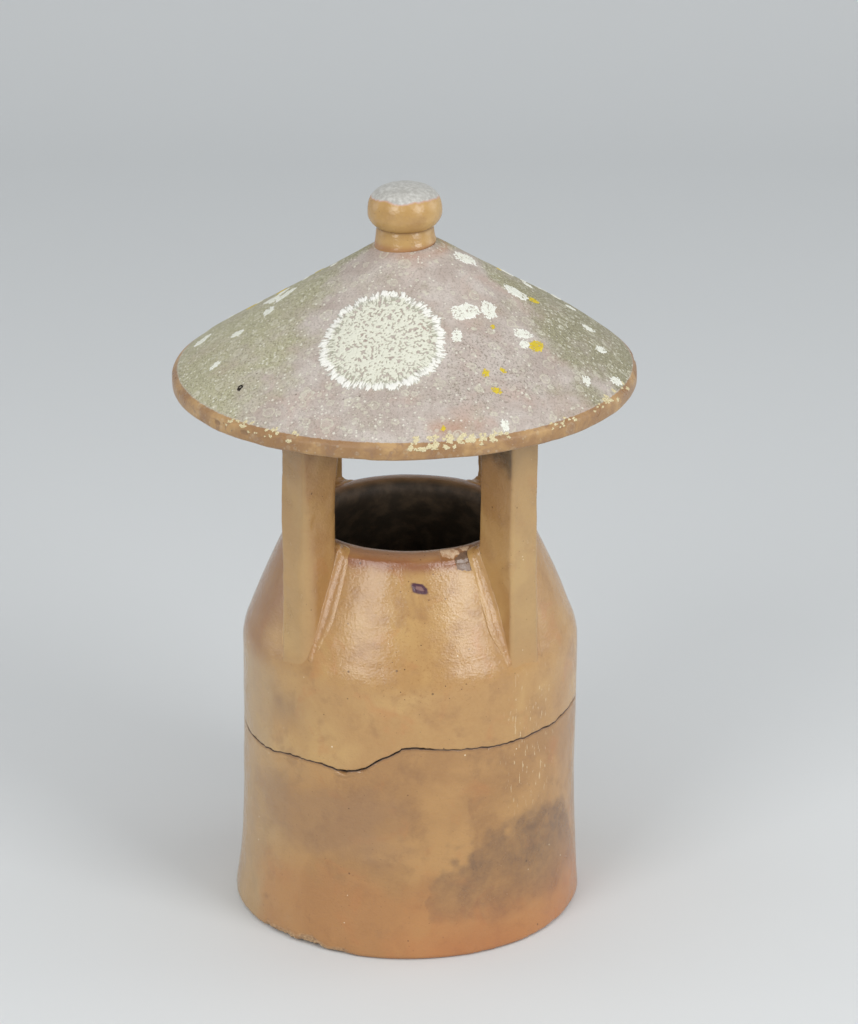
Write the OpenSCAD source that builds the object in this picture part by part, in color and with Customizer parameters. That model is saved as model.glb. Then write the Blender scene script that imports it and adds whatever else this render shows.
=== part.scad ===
// Salt-glazed clay chimney pot with a fixed conical rain hood on four posts.
// Millimetres.  Origin: centre of the foot ring on its resting plane.
// +Z points up the flue, -Y is the front, +X is the right-hand side seen from the front.

/* [Part] */
// Sub-part to draw

/* [Barrel] */
// Outside radius of the foot ring at its widest
foot_r = 150; // [120:1:190]
// Height over which the flared foot runs into the straight barrel
foot_flare_h = 112; // [40:1:150]
// Outside radius of the straight barrel
barrel_r = 144; // [115:1:185]
// Radius of the flue bore through the barrel
bore_r = 126; // [100:1:165]
// Height at which the straight barrel turns into the shoulder
barrel_h = 238; // [160:1:400]

/* [Shoulder and mouth] */
// Outside radius where the shoulder meets the rounded lip
lip_r = 103; // [80:1:130]
// Height where the shoulder meets the rounded lip
lip_h = 343; // [280:1:520]
// Height of the rim top
rim_h = 350; // [290:1:530]
// Radius of the open mouth
mouth_r = 78; // [60:1:110]
// Height over which the shoulder corner is rounded
shoulder_round = 26; // [5:1:40]
// Outward bulge of the shoulder, larger is fuller
shoulder_bulge = 2.5; // [0:0.5:12]

/* [Crack round the barrel] */
// Height of the crack at the left-hand side
crack_left_h = 168.5; // [120:0.5:220]
// Height of the crack at the right-hand side
crack_right_h = 190; // [120:0.5:220]
// Distance of the step in the crack from the centre plane, towards the right
crack_step_x = -30; // [-100:1:100]
// Width over which the crack climbs from left height to right height
crack_step_w = 50; // [20:1:160]
// Height of the small waves in the crack
crack_wave = 2.2; // [0:0.1:6]

/* [Posts] */
// Angle of the two front posts from the front; the rear pair mirrors it
post_angle = 43.5; // [35:0.5:55]
// Width of each post across its face
post_w = 31; // [20:1:50]
// Radius of the inner face of each post
post_in_r = 100; // [85:1:110]
// Radius of the outer face of each post
post_out_r = 140; // [105:1:142]
// Height at which the outer face of each post dies into the shoulder
post_foot_h = 256; // [200:1:330]
// Height and width of the clay fillet round the foot of each post
fillet = 8; // [4:0.5:14]

/* [Hood] */
// Radius of the hood at its lower edge
hood_r = 196; // [150:0.5:250]
// Height of the lower edge of the hood above the resting plane
hood_h = 470.5; // [400:1:650]
// Depth of the upright band round the hood's edge
hood_band = 13.3; // [6:0.1:30]
// Slope of the hood, degrees from level
hood_slope = 32.6; // [15:0.1:45]
// Wall thickness of the hood
hood_t = 14; // [8:0.5:22]
// Sideways offset of the hand-set hood
hood_shift = -3; // [-8:0.5:8]
// Sideways lean of the hand-set hood, degrees, left side lower
hood_lean = 0.3; // [0:0.1:2]

/* [Finial] */
// Radius of the knob at its widest
knob_r = 31.2; // [20:0.1:45]
// Height of the knob's widest line above the hood's lower edge
knob_h = 149; // [130:0.5:190]
// Rise of the knob above its widest line
knob_up = 23.5; // [12:0.5:40]
// Drop of the knob below its widest line
knob_down = 19; // [10:0.5:40]
// Radius of the neck just below the knob
neck_r = 23.6; // [14:0.1:30]
// Radius of the neck where it is seated on the hood
neck_foot_r = 26; // [18:0.1:40]
// Squareness of the knob's shoulder, 1 is an ellipse and smaller is squarer
knob_square = 0.77; // [0.5:0.01:1]
// Radius of the spigot that fills the hole at the hood's apex
spigot_r = 15; // [8:0.5:20]

/* [Hidden] */
$fn = 96;
c_body = [0.70, 0.53, 0.36];
c_lower = [0.68, 0.50, 0.35];
c_post = [0.69, 0.54, 0.35];
c_lute = [0.73, 0.58, 0.44];
c_hood = [0.57, 0.52, 0.48];
c_knob = [0.71, 0.54, 0.33];

hood_tan = tan(hood_slope);
hood_drop = hood_t / cos(hood_slope);
hood_apex = hood_band + hood_r * hood_tan;
hood_in_r = hood_r - hood_t;

// Point on a cubic curve through a and d, pulled towards b and c
function curve(a, b, c, d, t) =
    a * pow(1 - t, 3) + 3 * b * t * pow(1 - t, 2) + 3 * c * t * t * (1 - t) + d * pow(t, 3);

function smooth(t) = t <= 0 ? 0 : (t >= 1 ? 1 : t * t * (3 - 2 * t));

// Height of the crack at a distance x from the centre plane
function crack_z(x) =
    crack_left_h
    + (crack_right_h - crack_left_h) * smooth((x - crack_step_x) / crack_step_w + 0.5)
    + crack_wave * sin(x * 3.1 + 40)
    + crack_wave * 0.6 * sin(x * 8.3);

// Height of the hood's underside at radius r, measured from the hood's lower edge
function hood_under(r) = hood_apex - hood_drop - r * hood_tan;

foot_curve = [for (i = [0:6]) let (t = i / 6)
    [barrel_r + (foot_r - barrel_r) * pow(1 - t, 2), 4 + (foot_flare_h - 4) * t]];

corner_top = [barrel_r - 6, barrel_h + shoulder_round];
shoulder_mid = (corner_top + [lip_r, lip_h]) / 2 + shoulder_bulge * [0.9, 0.45];
corner_curve = [for (i = [0:5])
    curve([barrel_r, barrel_h], [barrel_r, barrel_h + 12], corner_top - [-3, 7], corner_top, i / 5)];
shoulder_curve = [for (i = [1:6])
    curve(corner_top, (corner_top + shoulder_mid) / 2 + [0.8, 0.4],
          (shoulder_mid + [lip_r, lip_h]) / 2 + [0.6, 0.3], [lip_r, lip_h], i / 6)];
lip_curve = [
    [lip_r - 1.9, lip_h + 2.6],
    [lip_r - 4.4, lip_h + 4.9],
    [lip_r - 7.6, lip_h + 6.4],
    [lip_r - 12, rim_h],
];
outer_edge = concat([[0, 0], [foot_r - 2, 0], [foot_r, 1.5]],
                    foot_curve, corner_curve, shoulder_curve, lip_curve, [[0, rim_h]]);

mouth_edge = [
    [0, -1],
    [bore_r, -1],
    [bore_r, barrel_h],
    [bore_r - 3, barrel_h + 14],
    [bore_r - 9, barrel_h + 30],
    [mouth_r + 5, rim_h - 26],
    [mouth_r + 0.8, rim_h - 16],
    [mouth_r, rim_h - 7],
    [mouth_r + 0.6, rim_h - 3],
    [mouth_r + 2.6, rim_h + 0.2],
    [mouth_r + 2.6, rim_h + 2],
    [0, rim_h + 2],
];

// ---------- shared shapes ----------

module solid_of_body() {
    rotate_extrude(angle = 360) polygon(outer_edge);
}

module barrel_shell() {
    difference() {
        solid_of_body();
        rotate_extrude(angle = 360) polygon(mouth_edge);
    }
}

// Everything below the crack
module below_crack() {
    xs = [for (i = [0:40]) -160 + 8 * i];
    rotate([90, 0, 0])
        translate([0, 0, -170])
            linear_extrude(height = 340)
                polygon(concat([[160, -10], [-160, -10]], [for (x = xs) [x, crack_z(x)]]));
}

// Everything from the hood's underside upwards, used to cope the post heads
module above_underside() {
    hood_place()
        rotate_extrude(angle = 360)
            polygon([
                [0, hood_under(0)],
                [hood_in_r, hood_under(hood_in_r)],
                [hood_in_r, 400],
                [0, 400],
            ]);
}

module hood_place() {
    translate([hood_shift, 0, hood_h])
        rotate([0, -hood_lean, 0])
            children();
}

// A post's own frame: +X runs outwards from the flue's axis
module post_frame(a) {
    rotate([0, 0, a - 90]) children();
}

module post(a) {
    difference() {
        post_frame(a)
            translate([post_in_r, -post_w / 2, barrel_h])
                cube([post_out_r - post_in_r, post_w, hood_h + 80 - barrel_h]);
        solid_of_body();
        above_underside();
    }
}

// Clay fillet in a U round the foot of a post: down both sides and across the inner face
module luting(a) {
    run = post_out_r - post_in_r;
    fall = lip_h - post_foot_h;
    len = sqrt(run * run + fall * fall) + fillet;
    difference() {
        post_frame(a) {
            intersection() {
                for (s = [-1, 1])
                    translate([post_in_r, s * post_w / 2, lip_h])
                        rotate([0, atan2(fall, run), 0])
                            rotate([90, 0, 90])
                                linear_extrude(height = len)
                                    polygon([[0, -9], [s * fillet, -9], [s * fillet, -1], [0, fillet - 1]]);
                translate([post_in_r, -60, barrel_h])
                    cube([run, 120, 200]);
            }
            translate([post_in_r, 0, rim_h])
                rotate([90, 0, 0])
                    linear_extrude(height = post_w + 1.6 * fillet, center = true)
                        polygon([[3, -9], [-fillet, -9], [-fillet, 0.8], [0, fillet / 2], [3, fillet / 2]]);
        }
        solid_of_body($fn = 360);
        post_frame(a)
            translate([post_in_r, -post_w / 2, barrel_h])
                cube([run, post_w, 200]);
    }
}

// ---------- sub-parts ----------

// Lower piece of the barrel: flared foot ring up to the crack
module barrel_lower() {
    color(c_lower)
        intersection() {
            barrel_shell();
            below_crack();
        }
}

// Upper piece of the barrel: crack, shoulder and rounded mouth
module barrel_upper() {
    color(c_body)
        difference() {
            barrel_shell();
            below_crack();
        }
}

module post_front_left() {
    color(c_post) post(-post_angle);
}

module post_front_right() {
    color(c_post) post(post_angle);
}

module post_rear_left() {
    color(c_post) post(post_angle - 180);
}

module post_rear_right() {
    color(c_post) post(180 - post_angle);
}

module luting_front_left() {
    color(c_lute) luting(-post_angle);
}

module luting_front_right() {
    color(c_lute) luting(post_angle);
}

module luting_rear_left() {
    color(c_lute) luting(post_angle - 180);
}

module luting_rear_right() {
    color(c_lute) luting(180 - post_angle);
}

// Hollow conical rain hood with an upright band and a hole for the finial
module hood() {
    color(c_hood)
        hood_place()
            rotate_extrude(angle = 360)
                polygon([
                    [hood_in_r + 1.5, 0],
                    [hood_r - 1.5, 0],
                    [hood_r, 1.5],
                    [hood_r, hood_band - 2],
                    [hood_r - 2, hood_band + 1],
                    [hood_r * 0.82, hood_apex - hood_r * 0.82 * hood_tan + 1.8],
                    [hood_r * 0.62, hood_apex - hood_r * 0.62 * hood_tan + 1.4],
                    [neck_foot_r, hood_apex - neck_foot_r * hood_tan],
                    [spigot_r, hood_apex - neck_foot_r * hood_tan + 2],
                    [spigot_r, hood_under(spigot_r)],
                    [hood_in_r - 6, hood_under(hood_in_r - 6)],
                    [hood_in_r, hood_under(hood_in_r) - 3],
                ]);
}

// Knob, flared neck and spigot, turned in one piece
module finial() {
    seat = hood_apex - neck_foot_r * hood_tan;
    below = [for (i = [0:7]) let (a = -acos((neck_r + 0.5) / knob_r) * (1 - i / 7))
        [knob_r * cos(a), knob_h + knob_down * sin(a)]];
    above = [for (i = [1:8]) let (a = 90 * i / 8)
        [knob_r * pow(cos(a), knob_square), knob_h + knob_up * pow(sin(a), knob_square)]];
    groove_h = knob_h + knob_down * sin(-acos((neck_r + 0.5) / knob_r));
    color(c_knob)
        hood_place()
            rotate_extrude(angle = 360)
                polygon(concat(
                    [
                        [0, hood_under(spigot_r) - 4],
                        [spigot_r - 2, hood_under(spigot_r) - 4],
                        [spigot_r, hood_under(spigot_r) - 2],
                        [spigot_r, seat + 2],
                        [neck_foot_r, seat],
                        [neck_foot_r - 0.8, seat + 3],
                        [neck_r + 0.7, (seat + groove_h) / 2 + 1],
                        [neck_r, groove_h - 0.8],
                    ],
                    below,
                    above));
}

barrel_lower();
barrel_upper();
post_front_left();
post_front_right();
post_rear_left();
post_rear_right();
luting_front_left();
luting_front_right();
luting_rear_left();
luting_rear_right();
hood();
finial();
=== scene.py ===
"""Looks of a salt-glazed clay chimney pot with a fixed conical rain hood.

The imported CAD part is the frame. Every clay piece is rebuilt here as a finely divided mesh of the
same size, with the unevenness, chips, crack edges and growths of lichen that a CAD solid can't hold.
Lengths in the code are millimetres until a mesh is made; azimuth is measured from the front (-Y),
positive towards +X.
"""
import math

import bpy
import numpy as np
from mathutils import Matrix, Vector


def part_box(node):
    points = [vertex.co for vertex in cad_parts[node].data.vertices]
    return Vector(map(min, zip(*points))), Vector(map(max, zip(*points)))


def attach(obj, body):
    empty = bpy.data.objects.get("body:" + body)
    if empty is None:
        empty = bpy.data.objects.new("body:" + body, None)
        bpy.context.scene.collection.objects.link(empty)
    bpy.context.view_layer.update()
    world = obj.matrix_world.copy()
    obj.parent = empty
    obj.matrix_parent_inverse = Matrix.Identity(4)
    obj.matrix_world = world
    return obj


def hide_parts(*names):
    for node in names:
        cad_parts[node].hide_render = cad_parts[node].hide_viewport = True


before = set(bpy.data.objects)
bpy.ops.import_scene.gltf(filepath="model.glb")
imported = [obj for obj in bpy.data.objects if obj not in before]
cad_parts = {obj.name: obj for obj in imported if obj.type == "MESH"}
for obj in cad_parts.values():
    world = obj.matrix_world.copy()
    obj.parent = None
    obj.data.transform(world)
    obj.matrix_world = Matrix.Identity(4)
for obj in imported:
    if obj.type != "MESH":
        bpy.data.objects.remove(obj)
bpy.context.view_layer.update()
MM = 0.001
TAU = 2 * math.pi

# ---------------------------------------------------------------- sizes taken from the frame

def node_mm(node):
    low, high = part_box(node)
    return np.array(low) / MM, np.array(high) / MM


HOOD_LO, HOOD_HI = node_mm("hood")
FOOT_LO, FOOT_HI = node_mm("barrel_lower")
FOOT_R = (FOOT_HI[0] - FOOT_LO[0]) / 2
RIM_H = node_mm("barrel_upper")[1][2]
HOOD_R = (HOOD_HI[1] - HOOD_LO[1]) / 2
HOOD_X = (HOOD_HI[0] + HOOD_LO[0]) / 2
HOOD_LEAN = math.radians(0.6)
HOOD_Z = HOOD_LO[2] + HOOD_R * math.sin(math.radians(0.3))

BARREL_R = FOOT_R - 6
BORE_R = 126
SHOULDER_H = 238
LIP_R = 103
LIP_H = 343
POST_MID = 120
SLOPE = math.radians(32.6)
BAND = 13.3
HOOD_T = 14
APEX = BAND + HOOD_R * math.tan(SLOPE)
COLUMNS = 640


# ---------------------------------------------------------------- noise

def smooth(x, low, high):
    t = np.clip((np.asarray(x, float) - low) / (high - low), 0, 1)
    return t * t * (3 - 2 * t)


class Noise:
    """Gradient noise on a seeded lattice, about -1 to 1."""

    def __init__(self, seed):
        rng = np.random.default_rng(seed)
        self.order = rng.permutation(512)
        g = rng.normal(size=(512, 3))
        self.grad = g / np.linalg.norm(g, axis=1)[:, None]

    def __call__(self, p, size, octaves=1):
        p = np.asarray(p, float) / size
        total = np.zeros(p.shape[:-1])
        weight = 1.0
        for _ in range(octaves):
            total += weight * self.one(p)
            p = p * 2.03 + 11.7
            weight *= 0.5
        return total * 1.6

    def one(self, p):
        cell = np.floor(p).astype(int)
        f = p - cell
        u = f * f * f * (f * (6 * f - 15) + 10)
        out = np.zeros(p.shape[:-1])
        for dx in (0, 1):
            for dy in (0, 1):
                for dz in (0, 1):
                    h = self.order[(cell[..., 0] + dx) & 511]
                    h = self.order[(h + cell[..., 1] + dy) & 511]
                    h = self.order[(h + cell[..., 2] + dz) & 511]
                    corner = np.array([dx, dy, dz])
                    dot = np.sum(self.grad[h] * (f - corner), axis=-1)
                    w = (np.where(dx, u[..., 0], 1 - u[..., 0]) * np.where(dy, u[..., 1], 1 - u[..., 1])
                         * np.where(dz, u[..., 2], 1 - u[..., 2]))
                    out += w * dot
        return out


clay = Noise(3)
chips = Noise(8)
growth = Noise(21)


def ring(az, radius):
    """Points round a circle, so that noise closes on itself."""
    return np.stack([radius * np.sin(az), -radius * np.cos(az), np.zeros_like(az)], -1)


def azimuths(n):
    return np.arange(n) * TAU / n - math.pi


def bell(x, middle, width):
    return np.exp(-((x - middle) / width) ** 2)


def window(az_deg, low, high, soft):
    """1 between two azimuths in degrees, 0 outside them, with soft ends."""
    return smooth(az_deg, low - soft, low + soft) * (1 - smooth(az_deg, high - soft, high + soft))


# ---------------------------------------------------------------- meshes

def make(name, verts, faces, attrs, material, hides=()):
    """Makes a piece from points in mm, gives it its material and lets it ride on the frame."""
    verts = np.asarray(verts, float)
    faces = np.asarray(faces, np.int64)
    a, b, c = (verts[faces[:, k]] for k in (0, 1, 2))
    volume = np.einsum("ij,ij->i", a, np.cross(b, c)).sum()
    if faces.shape[1] == 4:
        d = verts[faces[:, 3]]
        volume += np.einsum("ij,ij->i", a, np.cross(c, d)).sum()
    if volume < 0:
        faces = faces[:, ::-1]
    mesh = bpy.data.meshes.new(name)
    mesh.vertices.add(len(verts))
    mesh.vertices.foreach_set("co", (verts * MM).ravel())
    size = faces.shape[1]
    mesh.loops.add(faces.size)
    mesh.loops.foreach_set("vertex_index", faces.ravel())
    mesh.polygons.add(len(faces))
    mesh.polygons.foreach_set("loop_start", np.arange(len(faces)) * size)
    mesh.polygons.foreach_set("loop_total", np.full(len(faces), size))
    mesh.update(calc_edges=True)
    mesh.validate()
    mesh.polygons.foreach_set("use_smooth", np.ones(len(mesh.polygons), bool))
    for key, values in attrs.items():
        layer = mesh.attributes.new(key, "FLOAT", "POINT")
        layer.data.foreach_set("value", np.asarray(values, np.float32).ravel())
    obj = bpy.data.objects.new(name, mesh)
    bpy.context.scene.collection.objects.link(obj)
    mesh.materials.append(material)
    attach(obj, "root")
    if hides:
        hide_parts(*hides)
    return obj


def grid_faces(n, m, wrap_n=True, wrap_m=True):
    i = np.arange(n if wrap_n else n - 1)
    j = np.arange(m if wrap_m else m - 1)
    i, j = np.meshgrid(i, j, indexing="ij")
    i1, j1 = (i + 1) % n, (j + 1) % m
    return np.stack([i * m + j, i1 * m + j, i1 * m + j1, i * m + j1], -1).reshape(-1, 4)


def spun(az, radius, height, shift_x=0.0):
    """Points of a turned surface: az has one entry per column, radius and height one per column and row."""
    return np.stack([radius * np.sin(az)[:, None] + shift_x, -radius * np.cos(az)[:, None],
                     height + 0 * radius], -1)


def capped(n, m):
    """Triangles of n columns of m points closed by two more points, the bottom's and then the top's."""
    quads = grid_faces(n, m, wrap_m=False)
    i = np.arange(n)
    bottom = np.stack([i * m, np.full(n, n * m), (i + 1) % n * m], 1)
    top = np.stack([i * m + m - 1, (i + 1) % n * m + m - 1, np.full(n, n * m + 1)], 1)
    return np.concatenate([quads[:, [0, 1, 2]], quads[:, [0, 2, 3]], bottom, top])


# ---------------------------------------------------------------- barrel

def curve(a, b, c, d, t):
    t = np.asarray(t)[:, None]
    a, b, c, d = (np.array(p, float) for p in (a, b, c, d))
    return a * (1 - t) ** 3 + 3 * b * t * (1 - t) ** 2 + 3 * c * t * t * (1 - t) + d * t ** 3


CORNER = np.array([BARREL_R - 6, SHOULDER_H + 26])
MIDDLE = (CORNER + [LIP_R, LIP_H]) / 2 + [2.25, 1.1]
OUTLINE = np.concatenate([
    [[FOOT_R, 4]],
    [[BARREL_R + (FOOT_R - BARREL_R) * (1 - t) ** 2, 4 + 108 * t] for t in np.linspace(0, 1, 12)],
    curve([BARREL_R, SHOULDER_H], [BARREL_R, SHOULDER_H + 12], CORNER - [-3, 7], CORNER,
          np.linspace(0, 1, 10)),
    curve(CORNER, (CORNER + MIDDLE) / 2 + [0.8, 0.4], (MIDDLE + [LIP_R, LIP_H]) / 2 + [0.6, 0.3],
          [LIP_R, LIP_H], np.linspace(0, 1, 24))[1:],
])


def outline_r(z):
    return np.interp(z, OUTLINE[:, 1], OUTLINE[:, 0])


CRACK_X = [-160, -140, -129, -123, -109, -92, -70, -54, -37, -24, -7, 13, 34, 55, 77, 94, 111, 124, 136, 160]
CRACK_Z = [167, 167.5, 166, 165, 170, 172, 171.5, 169, 175, 184, 194.5, 194.3, 192, 190.4, 188, 188.7, 187.8,
           188.2, 188.5, 190]


def crack_z(az):
    """Height of the crack round the barrel, with its fine jaggedness."""
    x = BARREL_R * np.sin(az)
    z = np.interp(x, CRACK_X, CRACK_Z)
    p = ring(az, BARREL_R)
    return z + 1.3 * clay(p, 17, 3) + 0.32 * chips(p, 3.4, 2)


def crack_gap(az):
    """Half the opening of the crack."""
    p = ring(az, BARREL_R)
    deg = np.degrees(az)
    wide = 0.12 + 0.42 * window(deg, -30, 6, 6) + 0.2 * window(deg, 30, 60, 10)
    wide += 0.2 * window(deg, -70, -55, 5)
    return np.clip(wide + 0.26 * chips(p, 9, 2), 0.08, 1.1)


def swell(p, az_deg, z):
    """Unevenness of the hand-made wall, in mm along its normal."""
    s = 0.9 * clay(p, 110) + 0.45 * clay(p + 40, 42) + 0.16 * clay(p + 80, 15)
    s += 1.9 * window(az_deg, -125, -62, 22) * bell(z, 0, 26)
    s -= 1.4 * window(az_deg, 60, 125, 22) * bell(z, 0, 40)
    return s


def lean_x(z):
    return 1.5 * smooth(z, 20, 240) - 0.5


def wall(az, z):
    """Outside radius of the barrel at azimuths az and heights z, before the crack's chips."""
    p = np.stack([BARREL_R * np.sin(az) * np.ones_like(z), -BARREL_R * np.cos(az) * np.ones_like(z), z], -1)
    return outline_r(z) + swell(p, np.degrees(az) + 0 * z, z), p


def crack_edge(az, dist, p):
    """How far the wall is broken back at a distance from the crack."""
    width = 0.6 + 1.3 * np.clip(chips(p, 8, 2) + 0.1, 0, 1)
    deep = 0.3 + 1.4 * np.clip(chips(p + 30, 11, 3), 0, 1)
    big = window(np.degrees(az), -64, -57, 2.0) + 0.8 * window(np.degrees(az), -27, -14, 3.0)
    width = width * (1 + 1.1 * big)
    deep = deep * (1 + 1.0 * big)
    return deep * bell(dist, 0, width)


def inner_crack(az, gap):
    """Height of the crack's edge at the bore, gap above the middle of the crack."""
    return (crack_z(az) + 1.2 * clay(ring(az, BORE_R), 12, 2) + gap)[:, None]


def torn_face(az, bore_r, wall_r, bore_z, wall_z):
    """The rough face of the crack, from the bore's edge to the wall's."""
    k = np.linspace(0, 1, 10)[1:-1]
    r = bore_r + (wall_r - bore_r) * k
    bumps = 0.8 * chips(spun(az, r, r * 0), 5, 2) * np.sin(math.pi * k)
    return r, bore_z + (wall_z - bore_z) * k + bumps


def barrel_lower(material):
    az = azimuths(COLUMNS)
    col = az[:, None]
    zc = crack_z(az) - crack_gap(az)
    t = np.concatenate([[0, 0.35, 0.8, 1.3, 1.9, 2.6, 3.5, 4.6, 6.0], np.linspace(7.6, 160, 96)]) / 160
    z = zc[:, None] + (4 - zc[:, None]) * t
    r, p = wall(col, z)
    r -= crack_edge(col, zc[:, None] - z, p)
    split = zc[:, None] - 4.2 - 1.2 * clay(p, 20)
    r -= 0.9 * bell(z, split, 0.55) * window(np.degrees(col), -27, -15, 1.5)
    deg = np.degrees(az)
    q = ring(az, FOOT_R)
    chipped = window(deg, -57, -20, 4) * (0.55 + 0.5 * chips(q, 16, 2)) + 0.9 * window(deg, -39, -32, 1.5)
    chipped = np.clip(chipped + 0.35 * np.clip(chips(q + 9, 22, 2), 0, 1), 0, 1.6)[:, None]
    low = np.exp(-np.clip(z - 4, 0, None) / 4.5)
    r -= 2.6 * chipped * low * (0.7 + 0.6 * chips(p, 3, 2))
    turn = np.radians([18, 36, 54, 72, 90])
    edge_r = r[:, -1:] - 4 * (1 - np.cos(turn))
    edge_z = 4 - 4 * np.sin(turn) + 0 * edge_r
    edge_z += chipped * (1.6 + 1.2 * chips(q + 50, 4, 2)[:, None]) * np.array([0.4, 0.8, 1, 1, 1])
    base_r = edge_r[:, -1:] + (BORE_R + 1.5 - edge_r[:, -1:]) * np.array([0.12, 0.3, 0.5, 0.7, 0.9, 1.0])
    base_z = 0.35 + 0.3 * clay(spun(az, base_r, base_r * 0), 9, 2)
    base_z = np.clip(base_z, 0.05, 1) + chipped * 1.5 * np.array([0.8, 0.3, 0, 0, 0, 0])
    zi = inner_crack(az, -crack_gap(az))
    bore_z = 1.6 + (zi - 1.6) * np.linspace(0, 1, 16)
    bore_r = BORE_R + 0.5 * clay(spun(az, 0 * bore_z + BORE_R, bore_z), 50, 2)
    face_r, face_z = torn_face(az, bore_r[:, -1:], r[:, :1], zi, z[:, :1])
    R = np.concatenate([r, edge_r, base_r, bore_r, face_r], 1)
    Z = np.concatenate([z, edge_z, base_z, bore_z, face_z], 1)
    P = spun(az, R, Z, lean_x(Z))
    m = R.shape[1]
    outer = len(t)
    crack = np.zeros_like(R)
    crack[:, :outer] = np.exp(-(zc[:, None] - z) / 1.1)
    crack[:, -face_r.shape[1]:] = 1
    broken = np.zeros_like(R)
    broken[:, :outer] = chipped * low
    broken[:, outer:outer + 8] = np.clip(chipped * 1.2, 0, 1)
    inside = np.zeros_like(R)
    inside[:, outer + 11:] = 1
    attrs = marks(P, az, Z, crack, broken, inside)
    return make("barrel_lower_clay", P.reshape(-1, 3), grid_faces(len(az), m), attrs, material,
                ("barrel_lower",))


def barrel_upper(material):
    az = azimuths(COLUMNS)
    col = az[:, None]
    deg = np.degrees(col)
    zc = crack_z(az) + crack_gap(az)
    near = np.array([0, 0.35, 0.8, 1.3, 1.9, 2.6, 3.5, 4.6])
    first = near[None, :] + zc[:, None]
    rest = first[:, -1:] + (250 - first[:, -1:]) * np.linspace(0, 1, 40)[1:]
    above = np.linspace(250, LIP_H, 66)[1:] + 0 * col
    z = np.concatenate([first, rest, above], 1)
    r, p = wall(col, z)
    r -= crack_edge(col, z - zc[:, None], p)
    # the rounded rim's section from the shoulder's top edge, inwards and up
    lip = np.array([[-1.1, 1.5], [-2.6, 3.2], [-4.7, 4.7], [-7.4, 5.9], [-10.4, 6.7], [-13.4, 7.0],
                    [-16.6, 6.9], [-19.2, 6.2], [-21.2, 5.0], [-22.8, 3.2], [-24.1, 1.0], [-24.8, -2],
                    [-25, -5], [-24.2, -9], [-22.6, -14], [-20, -19]])
    lip_n = 0.5 * clay(ring(az, LIP_R), 30, 2)[:, None]
    lip_r = LIP_R + lip[:, 0] + lip_n * np.linspace(1, 0.4, len(lip))
    lip_z = LIP_H + lip[:, 1] + 0 * lip_r
    rim_p = ring(az, LIP_R)
    spall = window(deg + 2.5 * chips(rim_p, 6, 2)[:, None], 15, 34, 0.8)
    spall = spall * smooth(chips(rim_p + 5, 9, 2)[:, None] + 0.75, 0, 0.5)
    bite = spall * (1.5 + 0.8 * chips(spun(az, lip_r, lip_z), 3.5, 2))
    bite = bite * bell(np.arange(len(lip)), 2.0, 2.6)
    lip_r = lip_r - 0.8 * bite
    lip_z = np.minimum(lip_z - 0.9 * bite, RIM_H - 0.02)
    tail = spall * 1.2 * np.exp(-np.clip(LIP_H - z, 0, None) / 2.0)
    r -= tail
    in_r = LIP_R + np.concatenate([np.linspace(-18.5, 14, 12), [17.5, 20, 22, 23]]) + 0 * col
    in_z = np.concatenate([np.linspace(LIP_H - 22, 268, 12), [260, 252, 244, 232]]) + 0 * col
    zi = inner_crack(az, crack_gap(az))
    bore_z = 226 + (zi - 226) * np.linspace(0.1, 1, 7)
    bore_r = BORE_R + 0 * bore_z
    face_r, face_z = torn_face(az, bore_r[:, -1:], r[:, :1], zi, z[:, :1])
    R = np.concatenate([r, lip_r, in_r, bore_r, face_r], 1)
    Z = np.concatenate([z, lip_z, in_z, bore_z, face_z], 1)
    n_out = z.shape[1]
    skin = np.zeros_like(R)
    skin[:, :n_out + 6] = 1
    q = spun(az, R, Z)
    ragged = 2.2 * chips(q, 6, 3)
    slow = 1.5 * chips(q + 70, 9, 2)
    # where the rim's glaze has flaked off grey and the clay is broken to its pale body, then a kiln scar
    flake = 1.5 - ((deg - 29 + slow) / 6.4) ** 2 - ((Z - 341.8 + 0.6 * slow) / 6.2) ** 4
    flake = skin * np.clip(flake, 0, 1)
    pale = 1.5 - ((deg - 20.5 + slow) / 5.2) ** 4 - ((Z - 348.4 + 0.8 * slow) / 2.5) ** 2
    pale = skin * np.clip(pale, 0, 1)
    pale = np.maximum(pale, skin * np.clip(1.4 - ((deg - 30.5) / 3.0) ** 2 - ((Z - 349.6) / 1.0) ** 2, 0, 1))
    scar_x, scar_z = (deg - 4.1) * 1.9 + 0.5 * ragged, Z - 326 + 0.2 * (deg - 4.1) + 0.25 * ragged
    scar = np.exp(-((scar_x + 0.4 * scar_z) / 5.8) ** 4 - (scar_z / 3.5) ** 4)
    scar[:, n_out:] = 0
    R = R - 0.9 * scar - 0.7 * flake
    P = spun(az, R, Z, lean_x(Z))
    crack = np.zeros_like(R)
    crack[:, :n_out] = np.exp(-(z - zc[:, None]) / 1.1)
    crack[:, -face_r.shape[1]:] = 1
    inside = np.zeros_like(R)
    inside[:, n_out + 9:] = 1
    inside[:, n_out + 5:n_out + 9] = [0.1, 0.3, 0.6, 0.85]
    attrs = marks(P, az, Z, crack, pale, inside)
    attrs["scar"] = scar
    attrs["flake"] = flake
    # The lip band is the rim's reddish-brown tone and partly painted shade in the hollow under the rounded
    # rim.
    attrs["lip"] = bell(Z + 2 * clay(q, 20, 2), 343.5, 5.0) * (1 - inside)
    attrs["brow"] = smooth(Z, 346.5, 349.5) * (1 - inside)
    return make("barrel_upper_clay", P.reshape(-1, 3), grid_faces(len(az), R.shape[1]), attrs, material,
                ("barrel_upper",))


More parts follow.
